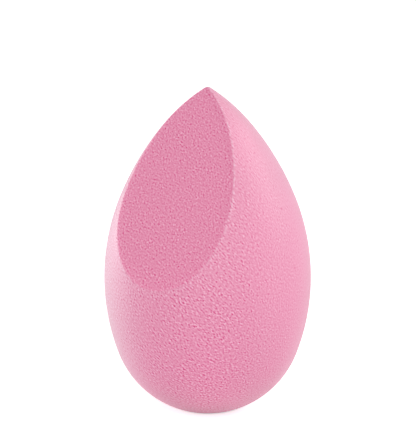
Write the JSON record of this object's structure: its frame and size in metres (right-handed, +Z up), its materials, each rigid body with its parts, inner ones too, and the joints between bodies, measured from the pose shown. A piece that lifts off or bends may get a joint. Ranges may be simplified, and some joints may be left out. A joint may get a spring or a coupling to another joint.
{
  "type": "makeup sponge",
  "caption": "Teardrop make-up blending sponge of soft pink foam, with a round belly, a blunt tip, a slanted flat face and a small flat foot.",
  "frame": {"origin": "centre of the flat foot, on the teardrop's upright axis", "axes": "+Z up the axis to the tip; the slanted flat face looks towards -Y and upwards; mirror-symmetric across X = 0"},
  "size_m": [0.039, 0.039, 0.062],
  "materials": {
    "foam": "matte open-cell polyurethane foam with fine pores"
  },
  "bodies": {
    "root": {"foam_body": "foam"}
  },
  "joints": []
}
